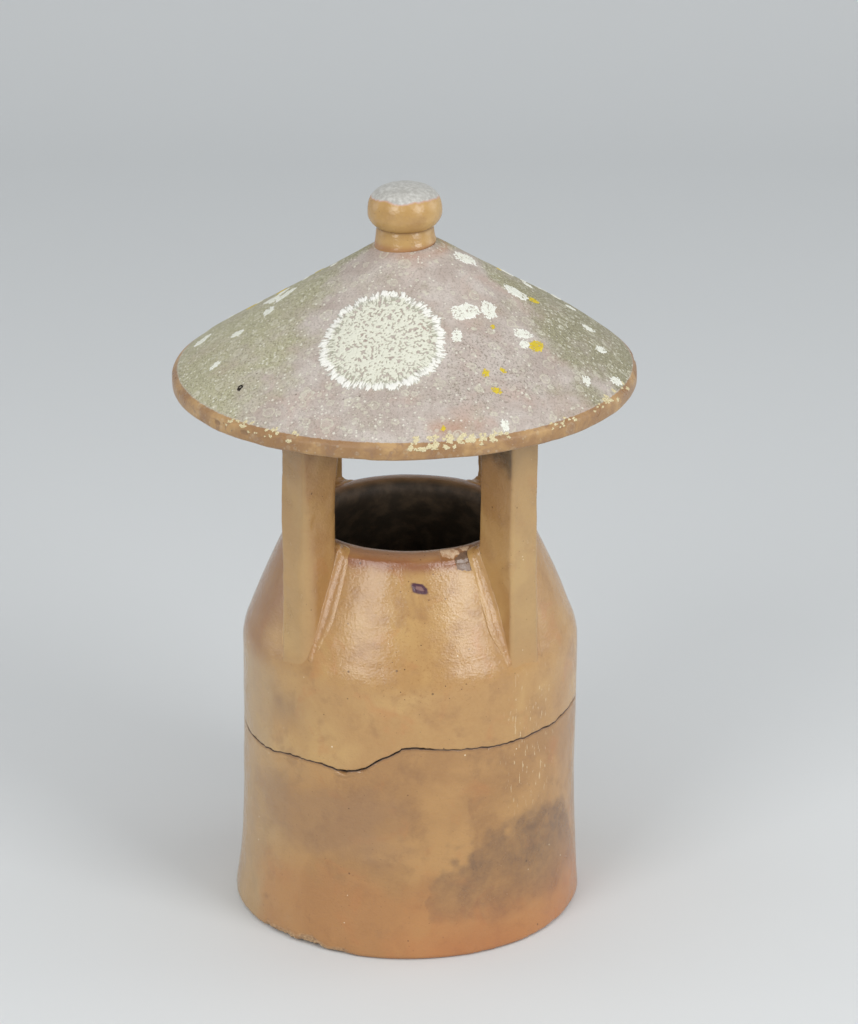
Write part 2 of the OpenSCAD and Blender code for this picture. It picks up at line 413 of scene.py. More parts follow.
def marks(P, az, Z, crack, broken, inside):
    """Where the wall is stained, flashed or worn, one value per point."""
    deg = np.degrees(az)[:, None] + 0 * Z
    n = clay(P, 34, 3)
    fine = clay(P + 200, 9, 2)
    top = np.interp(deg + 4 * n + 1.5 * fine, [4.5, 6, 15, 30, 40, 65, 74, 84],
                    [20, 68, 98, 117, 123, 116, 80, 20])
    stain = smooth(top + 12 * n + 7 * fine - Z, -5, 11) * smooth(Z - 31 + 12 * n + 3 * fine, -8, 12)
    core = bell(deg, 60, 17) * bell(Z, 94, 26)
    stain = np.clip(stain * (0.82 + 0.5 * clay(P + 500, 26, 2) + 0.6 * core), 0, 1.3)
    patch = bell(deg, -48, 12) * bell(Z, 214, 13) * (0.9 + 0.8 * n)
    flash = window(deg + 10 * n, 2, 96, 10) * bell(Z, 0, 40)
    flash += 0.5 * window(deg, 62, 100, 12) * bell(Z, 0, 70)
    warm = window(deg + 9 * n, -58, 8, 9) * (1 - smooth(Z + 18 * n + 4 * fine, 48, 84))
    dusk = window(deg + 9 * n, -66, -4, 9) * smooth(Z + 14 * n, 76, 100) * (1 - smooth(Z + 12 * n, 132, 158))
    drips = window(deg + 3 * fine, 36, 57, 5) * smooth(Z, 110, 150) * (1 - smooth(Z, 225, 260))
    speck = window(deg + 12 * n, -12, 22, 12) * smooth(Z, 205, 250)
    left = window(deg + 10 * n, -100, -50, 16)
    return {"crack": crack, "broken": broken, "inside": inside, "stain": stain, "patch": patch,
            "flash": np.clip(flash, 0, 1), "warm": warm, "dusk": dusk, "drips": drips, "speck": speck,
            "left": left}


# ---------------------------------------------------------------- hood

CONE_R = np.array([15, 26, 121.5, 160.7, 194, 195.4, 196])
CONE_Z = np.array([124.0, 122.0, 62.3, 37.7, 14.3, 13.0, 11.3])
_r = np.concatenate([np.linspace(15, 26, 6)[:-1], np.linspace(26, 192.5, 150)])
_z = np.interp(_r, CONE_R, CONE_Z)
_z = np.convolve(np.pad(_z, 6, "reflect", reflect_type="odd"), np.ones(13) / 13, "valid")
_z[:4] = np.interp(_r[:4], CONE_R, CONE_Z)
EDGE = np.array([[194.0, 14.15], [195.2, 13.0], [195.8, 11.6], [196.0, 9.8], [196.0, 7.6], [196.0, 5.2],
                 [195.9, 3.2], [195.5, 1.6], [194.6, 0.5], [193.2, 0.05]])
SECTION = np.concatenate([np.stack([_r, _z], 1), EDGE])
_step = np.hypot(*np.diff(SECTION, axis=0).T)
SECTION_S = np.concatenate([[0], np.cumsum(_step)])
_tan = np.gradient(SECTION, SECTION_S, axis=0)
_tan /= np.linalg.norm(_tan, axis=1)[:, None]
SECTION_N = np.stack([-_tan[:, 1], _tan[:, 0]], 1)
BAND_S = SECTION_S[len(_r)]
END_S = SECTION_S[-1]


def hood_place(local, drift=1.0):
    """From the hood's own frame to the pot's: leaned over, set off sideways, its cone drawn to the right."""
    c, s = math.cos(HOOD_LEAN), math.sin(HOOD_LEAN)
    x, y, z = local[..., 0], local[..., 1], local[..., 2]
    x = x + drift * np.interp(z, [12, 45, 100], [0, 4.2, 5.6])
    return np.stack([x * c - z * s + HOOD_X, y, x * s + z * c + HOOD_Z], -1)


def hood_relief(az, s, p):
    """Unevenness of the hood's outer skin along its normal; never outwards at the rim."""
    deg = np.degrees(az)
    h = 0.75 * clay(p, 95) + 0.4 * clay(p + 60, 38, 2) + 0.14 * clay(p + 30, 11, 2)
    rim = smooth(s, BAND_S - 14, BAND_S - 2)
    h = h * (1 - rim) + rim * (0.35 * clay(p, 45, 2) - 0.6)
    nick = smooth(chips(ring(az, HOOD_R) + 0 * p, 24, 3), 0.42, 0.75) * bell(s, BAND_S + 3, 3.2)
    cuts = window(deg, -52.5, -50.5, 0.5) + window(deg, -43, -40.6, 0.6)
    nick += 0.9 * cuts * bell(s, BAND_S + 6, 2.2)
    return h - 1.5 * nick, np.clip(nick, 0, 1)


def hood_at(az, s, lift=0.0):
    """Points on the hood's skin at azimuth az and distance s down the section, lifted off it in mm."""
    az, s = np.broadcast_arrays(np.asarray(az, float), np.asarray(s, float))
    r = np.interp(s, SECTION_S, SECTION[:, 0])
    z = np.interp(s, SECTION_S, SECTION[:, 1])
    nr = np.interp(s, SECTION_S, SECTION_N[:, 0])
    nz = np.interp(s, SECTION_S, SECTION_N[:, 1])
    p = np.stack([r * np.sin(az), -r * np.cos(az), z + 100], -1)
    h, nick = hood_relief(az, s, p)
    h = h + lift
    local = np.stack([(r + nr * h) * np.sin(az), -(r + nr * h) * np.cos(az), z + nz * h], -1)
    return local, nick


def hood(material):
    az = azimuths(COLUMNS)
    col = az[:, None]
    s = np.concatenate([[0, 6], np.linspace(11, BAND_S - 9, 104), np.linspace(BAND_S - 7.5, END_S, 22)])
    local, nick = hood_at(col, s[None, :])
    outer = len(s)
    under_r = np.concatenate([[191.0, 186.5, 183.4, 182.2, 181.6, 178], np.linspace(170, 15, 22)])
    under = APEX - HOOD_T / math.cos(SLOPE) - under_r * math.tan(SLOPE)
    under_z = np.maximum(under, np.array([0.05, 0.3, 1.8, 3.2, 4.2, 6.6] + [0] * 22)) + 0 * col
    under_r = under_r + 0 * col
    p = spun(az, under_r, under_z)
    rough = 0.5 * clay(p + 300, 30, 3)
    under_z = under_z + np.where(under_r < 180, rough - 0.3, 0)
    wave = 0.5 * clay(ring(az, HOOD_R) + 70, 26, 3)[:, None] + 0.4
    local[:, -5:, 2] += np.clip(wave, 0, 1.4) * np.array([0.15, 0.4, 0.75, 1, 1])
    under_z[:, :2] += np.clip(wave, 0, 1.4) * np.array([1, 0.5])
    P = np.concatenate([local, spun(az, under_r, under_z)], 1)
    m = P.shape[1]
    inside = np.zeros(P.shape[:2])
    inside[:, outer + 1:] = 1
    band = np.zeros(P.shape[:2])
    band[:, :outer] = smooth(s, BAND_S - 5.0, BAND_S - 0.5)
    band[:, outer] = 1
    deg = np.degrees(col) + 0 * P[..., 0]
    r = np.hypot(P[..., 0], P[..., 1])
    n = growth(P, 38, 3)
    # the front stays barer down its middle; the rest of the cone is greener
    bound = np.interp(r, [50, 90, 120, 150, 185], [90, 66, 58, 54, 50])
    algae = smooth(np.abs(deg - 5) - bound + 10 * n, -20, 18)
    algae = np.clip(0.08 + 0.8 * algae + 0.3 * n, 0, 1) * (1 - band)
    lower_left = window(deg + 6 * n, -42, 8, 9) * smooth(r, 122, 142) * (1 - smooth(r, 184, 192))
    gritty = window(deg + 6 * n, 10, 44, 8) * smooth(r, 96, 116) * (1 - smooth(r, 158, 176))
    speckle = np.clip(0.2 + 0.75 * algae + 0.3 * n + 0.6 * lower_left + 0.3 * gritty, 0, 1)
    rust = window(deg + 5 * n, 6, 20, 4) * bell(r, 182, 7) + 0.6 * bell(r, 30, 4.5) * (1 + n)
    nicked = np.zeros_like(inside)
    nicked[:, :outer] = nick
    attrs = {"band": band, "algae": algae, "speckle": speckle, "gritty": gritty, "rust": np.clip(rust, 0, 1),
             "inside": inside, "broken": nicked}
    return make("hood_clay", hood_place(P).reshape(-1, 3), grid_faces(len(az), m), attrs, material,
                ("hood",))


# ---------------------------------------------------------------- finial

def finial(material):
    az = azimuths(288)
    seat = np.interp(26, CONE_R, CONE_Z)
    mid = 149.0
    up, down, wide = 23.5, 19.0, 31.2
    low = math.acos(24.1 / wide)
    a = np.linspace(-low, 0, 22)
    b = np.linspace(0, math.pi / 2, 64)[1:-1]
    ball = np.concatenate([np.stack([wide * np.cos(a), mid + down * np.sin(a)], 1),
                           np.stack([wide * np.cos(b) ** 0.77, mid + up * np.sin(b) ** 0.77], 1)])
    groove = ball[0, 1]
    neck = np.array([[25.4, seat - 1.8], [26.0, seat + 0.1], [25.9, seat + 1.4], [25.5, seat + 2.8],
                     [25.1, seat + 4.4], [24.8, seat + 6.2], [24.5, seat + 8.2], [24.1, groove - 1.9],
                     [23.6, groove - 0.8], [23.7, groove - 0.1]])
    stem = np.array([[14.4, 92.5], [14.8, 94.5], [15, 97], [15, 110], [15, seat + 1.2], [20, seat - 0.4]])
    prof = np.concatenate([stem, neck, ball])
    R = prof[:, 0] + 0 * az[:, None]
    Z = prof[:, 1] + 0 * R
    P = spun(az, R, Z)
    body = smooth(Z, seat, seat + 4)
    bump = (0.5 * clay(P, 26, 2) + 0.14 * clay(P + 9, 8, 2)) * body
    pole = smooth(R, 0, 12)
    out = 1 + bump / 30 * pole
    P[..., 0] *= out
    P[..., 1] *= out
    P[..., 2] += np.where(Z > mid, 0.25 * clay(P + 33, 12, 2) - 0.35, 0) * body
    P[..., 2] += 2.4 * np.sin(az)[:, None] * bell(Z, seat, 5)
    verts = np.concatenate([P.reshape(-1, 3), [[0, 0, 92.2], [0, 0, mid + up - 0.35]]])
    line = mid + 12.6 - 2.0 * verts[:, 1] / wide + 1.2 * clay(verts, 13, 3) + 0.5 * clay(verts, 4, 2)
    weather = smooth(verts[:, 2], line - 1.6, line + 1.6)
    # painted shade in the groove under the ball
    groove_shade = bell(verts[:, 2], groove, 1.8)
    foot = bell(verts[:, 2], seat, 3.0)
    attrs = {"weather": weather, "groove_shade": groove_shade, "foot": foot}
    return make("finial_clay", hood_place(verts, 0.35), capped(len(az), len(prof)), attrs, material,
                ("finial",))


# ---------------------------------------------------------------- posts and their luting

# Place of each post round the axis, the way it faces at its foot and at its head, width and depth
POSTS = {
    "front_left": (-43.5, -40.0, -52.0, 30.5, 39.5),
    "front_right": (43.5, 43.5, 43.5, 31.0, 39.5),
    "rear_left": (-136.5, -135.0, -138.0, 31.0, 39.5),
    "rear_right": (136.5, 138.0, 134.0, 31.0, 39.5),
}


def post_frame(name, t=0.0):
    """Centre of a post and, at t of the way up, its outward and sideways directions in plan."""
    place, foot, head, wide, deep = POSTS[name]
    a, b = math.radians(place), np.radians(foot + (head - foot) * np.asarray(t, float))
    centre = POST_MID * np.array([math.sin(a), -math.cos(a)]) + [lean_x(300.0), 0]
    out = np.stack([np.sin(b), -np.cos(b)], -1)
    side = np.stack([np.cos(b), np.sin(b)], -1)
    return centre, out, side, wide, deep


def under_hood(xy):
    """Height of the hood's underside above a point in plan."""
    r = np.hypot(xy[..., 0] - HOOD_X, xy[..., 1])
    local = APEX - HOOD_T / math.cos(SLOPE) - r * math.tan(SLOPE)
    return local + HOOD_Z + (xy[..., 0] - HOOD_X) * math.sin(HOOD_LEAN)


def shoulder_z(xy):
    """Height of the shoulder's skin below a point in plan."""
    r = np.hypot(xy[..., 0] - lean_x(300.0), xy[..., 1])
    z = np.interp(-r, -OUTLINE[:, 0], OUTLINE[:, 1])
    return np.where(r < LIP_R, np.interp(r, [84, 90, 95, 99.5, LIP_R], [349.6, 350, 349.1, 346.8, 343]), z)


def rounded(wide, deep, corner, n):
    """Outline of a rounded rectangle, deep along the first axis, as points and outward normals."""
    hx, hy = deep / 2 - corner, wide / 2 - corner
    pts, nrm = [], []
    arc = np.linspace(0, math.pi / 2, 7)
    for k, (cx, cy) in enumerate([(hx, hy), (-hx, hy), (-hx, -hy), (hx, -hy)]):
        for t in arc + k * math.pi / 2:
            pts.append([cx + corner * math.cos(t), cy + corner * math.sin(t)])
            nrm.append([math.cos(t), math.sin(t)])
        nx, ny = [(-hx, hy), (-hx, -hy), (hx, -hy), (hx, hy)][k]
        t = (k + 1) * math.pi / 2
        start = np.array([cx + corner * math.cos(t), cy + corner * math.sin(t)])
        stop = np.array([nx + corner * math.cos(t), ny + corner * math.sin(t)])
        for u in np.linspace(0, 1, n)[1:-1]:
            pts.append(start + (stop - start) * u)
            nrm.append([math.cos(t), math.sin(t)])
    return np.array(pts), np.array(nrm)


def post(name, material):
    rows = 96
    t = np.linspace(0, 1, rows)
    centre, out, side, wide, deep = post_frame(name, t)
    pts, nrm = rounded(wide, deep, 3.2, 16)
    n = len(pts)
    soft, soft_nrm = rounded(wide, deep, 11.0, 16)
    # the left post's right-hand corner is worn round towards its foot
    worn = smooth(t, 0.62, 0.30)[None, :, None] * smooth(pts[:, None, 1:], -3, 5) * (name == "front_left")
    shape = pts[:, None] * (1 - worn) + soft[:, None] * worn
    turned = nrm[:, None] * (1 - worn) + soft_nrm[:, None] * worn
    flat = centre + shape[..., :1] * out + shape[..., 1:] * side
    low = shoulder_z(flat[:, 0] * 0.985) - 18
    high = under_hood(flat[:, -1]) + 1.2
    z = low[:, None] + (high - low)[:, None] * t
    grow = 0.5 - t
    p = np.concatenate([flat, z[..., None]], -1)
    seed = {"front_left": 0, "front_right": 400, "rear_left": 800, "rear_right": 1200}[name]
    q = p + seed
    bump = grow + 0.75 * clay(q, 60, 2) + 0.3 * clay(q + 40, 18, 2)
    bump -= 0.5 * smooth(chips(q, 26, 3), 0.45, 0.8)
    # the outer face runs smoothly into the wall at its foot
    gap = outline_r(p[..., 2]) - np.hypot(p[..., 0] - lean_x(300.0), p[..., 1])
    meet = np.log1p(np.exp(np.clip(1.1 * gap, -30, 30))) / 1.1
    meet -= 1.9 * (1 - smooth(z - low[:, None], 0, 16))
    bump += meet * smooth(pts[:, :1], deep / 2 - 3.4, deep / 2 - 0.2)
    normal = turned[..., :1] * out + turned[..., 1:] * side
    p[..., :2] += normal * bump[..., None]
    sway = 1.2 * clay(np.stack([0 * t + seed, 0 * t, t * 200], -1), 120)[None, :]
    p[..., :2] += sway[..., None] * side
    ends = np.array([p[:, 0].mean(0), p[:, -1].mean(0)])
    verts = np.concatenate([p.reshape(-1, 3), ends])
    reach = np.repeat(pts[:, 0], rows)
    reach = np.concatenate([reach, [0, 0]])
    outward = smooth(reach, deep / 2 - 3, deep / 2 - 0.5)
    inner = smooth(-reach, deep / 2 - 12, deep / 2)
    drop = verts[:, 2]
    # painted shade: the posts darken towards the hood's underside, inner faces most, and the outer faces
    # darken above their middle
    hood_shade = smooth(drop, 400, 455) * (0.5 + 0.5 * inner)
    hood_shade += outward * smooth(drop, 330, 400) * (1.0 if name == "front_left" else 0.4)
    # a dark olive tone towards the top of the posts under the hood, strongest on the front right post
    dark_olive_top = smooth(drop + 14 * clay(verts, 20, 3), 418, 452) * (1.0 if name == "front_right" else 0.25)
    foot = np.exp(-np.clip(drop - shoulder_z(verts[:, :2]), 0, None) / 14)
    deg = np.degrees(np.arctan2(verts[:, 0], -verts[:, 1]))
    attrs = {"outward": outward, "hood_shade": hood_shade, "dark_olive_top": dark_olive_top * (1 - outward * 0.8), "foot": foot,
             "left": window(deg + 10 * clay(verts, 34, 3), -100, -50, 16)}
    return make("post_%s_clay" % name, verts, capped(n, rows), attrs, material,
                ("post_" + name,))


def luting(name, material):
    """The smeared coil of clay in a U round a post's foot: in along one side, across, out along the other."""
    centre, out, side, wide, deep = post_frame(name)
    hw, hd = wide / 2 + 0.4, deep / 2 + 0.4
    corner = 3.0
    x = np.linspace(hd - 0.5, -(hd - corner), 60)
    a = np.linspace(0, math.pi / 2, 8)
    turn_1 = np.stack([-(hd - corner) - corner * np.sin(a), (hw - corner) + corner * np.cos(a)], 1)
    turn_2 = np.stack([-(hd - corner) - corner * np.cos(a), -(hw - corner) - corner * np.sin(a)], 1)
    across = np.stack([np.full(26, -hd), np.linspace(hw - corner, -(hw - corner), 28)[1:-1]], 1)
    path = np.concatenate([np.stack([x, np.full_like(x, hw)], 1), turn_1[1:], across, turn_2[:-1],
                           np.stack([x[::-1], np.full_like(x, -hw)], 1)])
    tangent = np.gradient(path, axis=0)
    tangent /= np.linalg.norm(tangent, axis=1)[:, None]
    away = np.stack([tangent[:, 1], -tangent[:, 0]], 1)
    m = len(path)
    along = np.linspace(0, 1, m)
    seed = {"front_left": 0, "front_right": 500, "rear_left": 900, "rear_right": 1300}[name]
    key = np.concatenate([path + seed, np.zeros((m, 1))], 1)
    ends = smooth(along, 0, 0.16) * (1 - smooth(along, 0.84, 1))
    width = (10.0 + 1.5 * smooth(path[:, 0], -hd, 14 - hd) + 1.4 * clay(key, 26, 2)) * (0.35 + 0.65 * ends)
    rise = (9.0 + 2.0 * clay(key + 70, 24, 2)) * (0.3 + 0.7 * ends)
    k = 25
    v = np.linspace(0, 1, k)
    # from the post's face (v = 0) in a hollow sweep to a slightly raised toe on the shoulder (v = 1)
    reach = np.interp(v, [0, 0.12, 0.35, 0.6, 0.85, 1], [-0.6, 0.05, 0.22, 0.5, 0.84, 1.1])
    lift = 0.95 * (1 - v) ** 2.0 + 0.075 * bell(v, 0.76, 0.13) - 0.12 * smooth(v, 0.85, 1)
    plan = path[:, None] + away[:, None] * (width[:, None] * reach)[..., None]
    xy = centre + plan[..., :1] * out + plan[..., 1:] * side
    ground = shoulder_z(xy)
    z = ground + rise[:, None] * lift
    top = np.concatenate([xy, z[..., None]], -1)
    top[..., 2] += 0.3 * clay(top + seed, 9, 2) * np.sin(math.pi * v)
    under = top.copy()
    under[..., 2] = ground - 2.5
    under[..., :2] -= (away[:, None] @ np.stack([out, side])) * 0.6
    under[:, 0, 2] = top[:, 0, 2] - 1.0
    loop = np.concatenate([top, under[:, ::-1]], 1)
    w = loop.shape[1]
    body = grid_faces(m, w, wrap_n=False)
    tris = [body[:, [0, 1, 2]], body[:, [0, 2, 3]]]
    j = np.arange(w)
    start, stop = m * w, m * w + 1
    tris.append(np.stack([j, (j + 1) % w, np.full(w, start)], 1))
    tris.append(np.stack([(m - 1) * w + (j + 1) % w, (m - 1) * w + j, np.full(w, stop)], 1))
    verts = np.concatenate([loop.reshape(-1, 3), loop[0].mean(0)[None], loop[-1].mean(0)[None]])
    toe = np.concatenate([v, v[::-1]])[None, :] + np.zeros((m, 1))
    toe = np.concatenate([toe.ravel(), [0.5, 0.5]])
    return make("luting_%s_clay" % name, verts, np.concatenate(tris), {"toe": toe}, material,
                ("luting_" + name,))


# ---------------------------------------------------------------- lichens on the hood

def cone_xy(r0, az0, u, v):
    """Azimuth and section distance of a point u sideways and v down the slope from a place on the cone."""
    rho0 = r0 / math.cos(SLOPE)
    x, y = rho0 + v, u
    rho = np.hypot(x, y)
    az = az0 + np.arctan2(y, x) / math.cos(SLOPE)
    s = np.interp(rho * math.cos(SLOPE), SECTION[:len(_r), 0], SECTION_S[:len(_r)])
    extra = rho * math.cos(SLOPE) - SECTION[len(_r) - 1, 0]
    return az, np.where(extra > 0, s + extra, s)


def raise_lobe(field, age, half, step, place, turn, size, mark):
    """Raises one rounded lobe (length, width, height) in a field and notes its age where it is on top."""
    (cx, cy), (length, wide, high) = place, size
    reach = length * 1.05
    i0, i1 = int((cx - reach + half) / step), int((cx + reach + half) / step) + 2
    j0, j1 = int((cy - reach + half) / step), int((cy + reach + half) / step) + 2
    i0, j0 = max(i0, 0), max(j0, 0)
    i1, j1 = min(i1, field.shape[0]), min(j1, field.shape[1])
    if i1 <= i0 or j1 <= j0:
        return
    x = -half + np.arange(i0, i1)[:, None] * step - cx
    y = -half + np.arange(j0, j1)[None, :] * step - cy
    a = x * math.cos(turn) + y * math.sin(turn)
    b = -x * math.sin(turn) + y * math.cos(turn)
    d = 1 - (a / length) ** 2 - (b / wide) ** 2
    h = high * np.sqrt(np.clip(d, 0, 1)) * (1 + 0.25 * a / length)
    part = field[i0:i1, j0:j1]
    won = h > part
    part[won] = h[won]
    age[i0:i1, j0:j1][won] = mark


def heap(rng, k, radius, lobe, step):
    """Height and age over a square grid round the k-th growth, heaped up from lobes."""
    big = lobe == 1.0
    half = radius * 1.25 + 1
    n = int(2 * half / step) + 1
    field, age = np.zeros((n, n)), np.zeros((n, n))
    for _ in range(int((2.1 if big else 3.0) * radius ** 2 * math.pi / (5.2 * lobe ** 2)) + 4):
        phi = rng.uniform(0, TAU)
        q = math.sqrt(rng.uniform(0, 1))
        edge = 0.014 * (math.sin(3 * phi + 1 + k) + math.sin(7 * phi + 2 * k)) + 0.02 * math.sin(17 * phi)
        if not big:
            edge = 1.4 * (edge + 0.2 * math.sin(2 * phi + k * 1.7) + 0.07 * math.sin(5 * phi + k))
        dist = q * radius * (1 + edge)
        if not big and rng.uniform() < 0.12:
            dist *= 1.2
        outer = smooth(q, 0.86, 0.98)
        turn = phi + rng.normal(0, 0.3 + 0.5 * (1 - outer))
        length = lobe * rng.uniform(1.1, 2.0) * (1 + 1.3 * outer * big)
        wide = lobe * rng.uniform(0.75, 1.15)
        high = lobe * rng.uniform(0.5, 0.95) * (1 + 0.45 * outer * big)
        place = dist * math.cos(phi), dist * math.sin(phi)
        raise_lobe(field, age, half, step, place, turn, (length, wide, high),
                   float(outer) * 0.75 + rng.uniform(0, 0.25))
    g = -half + np.arange(n) * step
    u, v = np.meshgrid(g, g, indexing="ij")
    if big:
        # narrow furrows part the lobes of the rim
        phi, dist = np.arctan2(v, u), np.hypot(u, v)
        furrow = clay(np.stack([60 * np.cos(phi), 60 * np.sin(phi), 0.3 * dist], -1), 4.4, 2)
        depth = 0.72 * smooth(dist, 0.68 * radius, 0.84 * radius)
        field *= 1 - depth * smooth(0.26 - np.abs(furrow), 0, 0.14)
    return u, v, field, age


def crust(name, patches, lobe, step, material):
    """Raised growths on the hood: each patch is a heap of overlapping lobes, closed underneath."""
    verts, faces, ages, tops = [], [], [], []
    count = 0
    for k, (seen_r, seen_deg, radius) in enumerate(patches):
        # places were read off a straight cone, so they go left by what the cone is drawn to the right
        x = seen_r * math.sin(math.radians(seen_deg)) - np.interp(seen_r, [70, 130, 180], [5.4, 4.6, 1.5])
        y = seen_r * math.cos(math.radians(seen_deg))
        rng = np.random.default_rng(1000 + k + 37 * len(name))
        u, v, field, age = heap(rng, k, radius, lobe, step)
        on = field > 0.04
        cell = on[:-1, :-1] | on[1:, :-1] | on[:-1, 1:] | on[1:, 1:]
        used = np.zeros(on.shape, bool)
        for rows in (slice(0, -1), slice(1, None)):
            for cols in (slice(0, -1), slice(1, None)):
                used[rows, cols] |= cell
        index = np.full(on.shape, -1)
        index[used] = np.arange(used.sum())
        az, s = cone_xy(math.hypot(x, y), math.atan2(x, y), u[used], v[used])
        upper, _ = hood_at(az, s, np.where(on[used], field[used], -0.35))
        lower, _ = hood_at(az, s, -1.1)
        size = used.sum()
        i, j = np.nonzero(cell)
        quad = np.stack([index[i, j], index[i + 1, j], index[i + 1, j + 1], index[i, j + 1]], 1)
        edges = np.concatenate([quad[:, [0, 1]], quad[:, [1, 2]], quad[:, [2, 3]], quad[:, [3, 0]]])
        code = edges[:, 0] * (size + 1) + edges[:, 1]
        back = edges[:, 1] * (size + 1) + edges[:, 0]
        border = edges[~np.isin(code, back)]
        skirt = np.stack([border[:, 1], border[:, 0], border[:, 0] + size, border[:, 1] + size], 1)
        faces.append(np.concatenate([quad, quad[:, ::-1] + size, skirt]) + count)
        verts.append(np.concatenate([upper, lower]))
        ages.append(np.concatenate([age[used], age[used]]))
        tops.append(np.concatenate([np.clip(field[used], 0, 2), np.zeros(size)]))
        count += 2 * size
    attrs = {"age": np.concatenate(ages), "height": np.concatenate(tops)}
    return make(name, hood_place(np.concatenate(verts)), np.concatenate(faces), attrs, material)


def scatter(rng, count, *ranges):
    """Growths with distance, azimuth and radius drawn from ranges."""
    return [tuple(float(rng.uniform(*r)) for r in ranges) for _ in range(count)]


# ---------------------------------------------------------------- materials

def rgb(r, g, b):
    """A colour given as 0-255 display values, for a shader socket."""
    lin = [c / 255 / 12.92 if c / 255 <= 0.04045 else ((c / 255 + 0.055) / 1.055) ** 2.4 for c in (r, g, b)]
    return (*lin, 1.0)


class Shader:
    """A node material written as expressions. Positions in it are millimetres in the pot's frame."""

    def __init__(self, name):
        self.mat = bpy.data.materials.new(name)
        self.mat.use_nodes = True
        self.tree = self.mat.node_tree
        self.tree.nodes.clear()
        coord = self.tree.nodes.new("ShaderNodeTexCoord")
        scale = self.tree.nodes.new("ShaderNodeVectorMath")
        scale.operation = "SCALE"
        scale.inputs["Scale"].default_value = 1 / MM
        self.tree.links.new(coord.outputs["Object"], scale.inputs[0])
        self.p = scale.outputs[0]
        self.col = None

    def node(self, kind, settings=None, **ins):
        n = self.tree.nodes.new(kind)
        for key, value in (settings or {}).items():
            setattr(n, key, value)
        for key, value in ins.items():
            self.put(n.inputs[key.replace("_", " ")], value)
        return n

    def put(self, socket, value):
        if isinstance(value, bpy.types.NodeSocket):
            self.tree.links.new(value, socket)
        else:
            socket.default_value = value

    def attr(self, name):
        return self.node("ShaderNodeAttribute", {"attribute_name": name}).outputs["Fac"]

    def axis(self, letter):
        return self.node("ShaderNodeSeparateXYZ", Vector=self.p).outputs[letter]

    def moved(self, size, offset=(0, 0, 0)):
        size = size if isinstance(size, tuple) else (size, size, size)
        m = self.node("ShaderNodeVectorMath", {"operation": "MULTIPLY_ADD"})
        self.put(m.inputs[0], self.p)
        m.inputs[1].default_value = [1 / s for s in size]
        m.inputs[2].default_value = offset
        return m.outputs[0]

    def noise(self, size, detail=3.0, rough=0.55, distort=0.0, offset=(0, 0, 0)):
        return self.node("ShaderNodeTexNoise", Vector=self.moved(size, offset), Scale=1.0, Detail=detail,
                         Roughness=rough, Distortion=distort).outputs[0]

    def patchy(self, low, high, *noise, **more):
        """Noise eased to 0 below low and to 1 above high."""
        return self.step(self.noise(*noise, **more), low, high)

    def cells(self, size, offset=(0, 0, 0), feature="F1", vector=None):
        n = self.node("ShaderNodeTexVoronoi", {"feature": feature}, Vector=vector or self.moved(size, offset),
                      Scale=1.0)
        return n.outputs["Distance"], n.outputs.get("Color")

    def dots(self, size, offset, channel, share, radius, soft):
        """Round dots in a share of the cells, up to radius of a cell."""
        distance, pick = self.cells(size, offset)
        reach = self.step(self.channel(pick, channel), share, 1.0, 0.0, radius)
        return self.step(self.sub(reach, distance), 0.0, soft)

    def math(self, op, a, b=0.0):
        n = self.node("ShaderNodeMath", {"operation": op})
        self.put(n.inputs[0], a)
        self.put(n.inputs[1], b)
        return n.outputs[0]

    def sub(self, a, b):
        return self.math("SUBTRACT", a, b)

    def mul(self, *terms):
        out = terms[0]
        for term in terms[1:]:
            out = self.math("MULTIPLY", out, term)
        return out

    def add(self, *terms):
        out = terms[0]
        for term in terms[1:]:
            out = self.math("ADD", out, term)
        return out

    def wander(self, gain, *noise, **more):
        """Noise about 0, scaled by a gain."""
        return self.mul(self.sub(self.noise(*noise, **more), 0.5), gain)

    def step(self, value, low, high, start=0.0, stop=1.0):
        """Eases from start to stop as value runs from low to high."""
        n = self.node("ShaderNodeMapRange", {"interpolation_type": "SMOOTHSTEP"}, Value=value)
        if low > high:
            low, high, start, stop = high, low, stop, start
        for key, v in (("From Min", low), ("From Max", high), ("To Min", start), ("To Max", stop)):
            n.inputs[key].default_value = v
        return n.outputs["Result"]

    def mix(self, fac, a, b):
        n = self.node("ShaderNodeMix", {"data_type": "RGBA"})
        self.put(n.inputs[0], fac)
        self.put(n.inputs[6], a)
        self.put(n.inputs[7], b)
        return n.outputs[2]

    def tint(self, colour, *weights):
        """Lays a colour over the material's own by the product of some weights."""
        self.col = self.mix(self.mul(*weights), self.col, colour)

    def channel(self, colour, index):
        return self.node("ShaderNodeSeparateColor", Color=colour).outputs[index]

    def bump(self, height, distance, strength=1.0):
        n = self.node("ShaderNodeBump", Height=height, Strength=strength, Distance=distance * MM)
        return n.outputs[0]

    def finish(self, roughness, normal, specular):
        n = self.node("ShaderNodeBsdfPrincipled", Base_Color=self.col, Roughness=roughness, Normal=normal)
        n.inputs["Specular IOR Level"].default_value = specular
        out = self.node("ShaderNodeOutputMaterial")
        self.tree.links.new(n.outputs[0], out.inputs["Surface"])
        return self.mat


# light, mid, dark and flashed body colours
OCHRE = (rgb(197, 158, 101), rgb(182, 140, 88), rgb(156, 114, 74), rgb(188, 130, 80))
LOWER = (rgb(184, 141, 88), rgb(166, 124, 77), rgb(144, 105, 68), rgb(180, 120, 70))
POST_TONES = (rgb(184, 145, 91), rgb(168, 126, 77), rgb(146, 106, 65), rgb(172, 120, 72))
LUTE_TONES = (rgb(194, 153, 99), rgb(177, 133, 84), rgb(150, 109, 68), rgb(182, 126, 78))
KNOB_TONES = (rgb(194, 158, 100), rgb(181, 143, 87), rgb(158, 120, 74), rgb(186, 134, 84))
IRON = rgb(96, 66, 42)
SALT = rgb(232, 216, 182)
CRUMB_TONE = rgb(74, 52, 36)


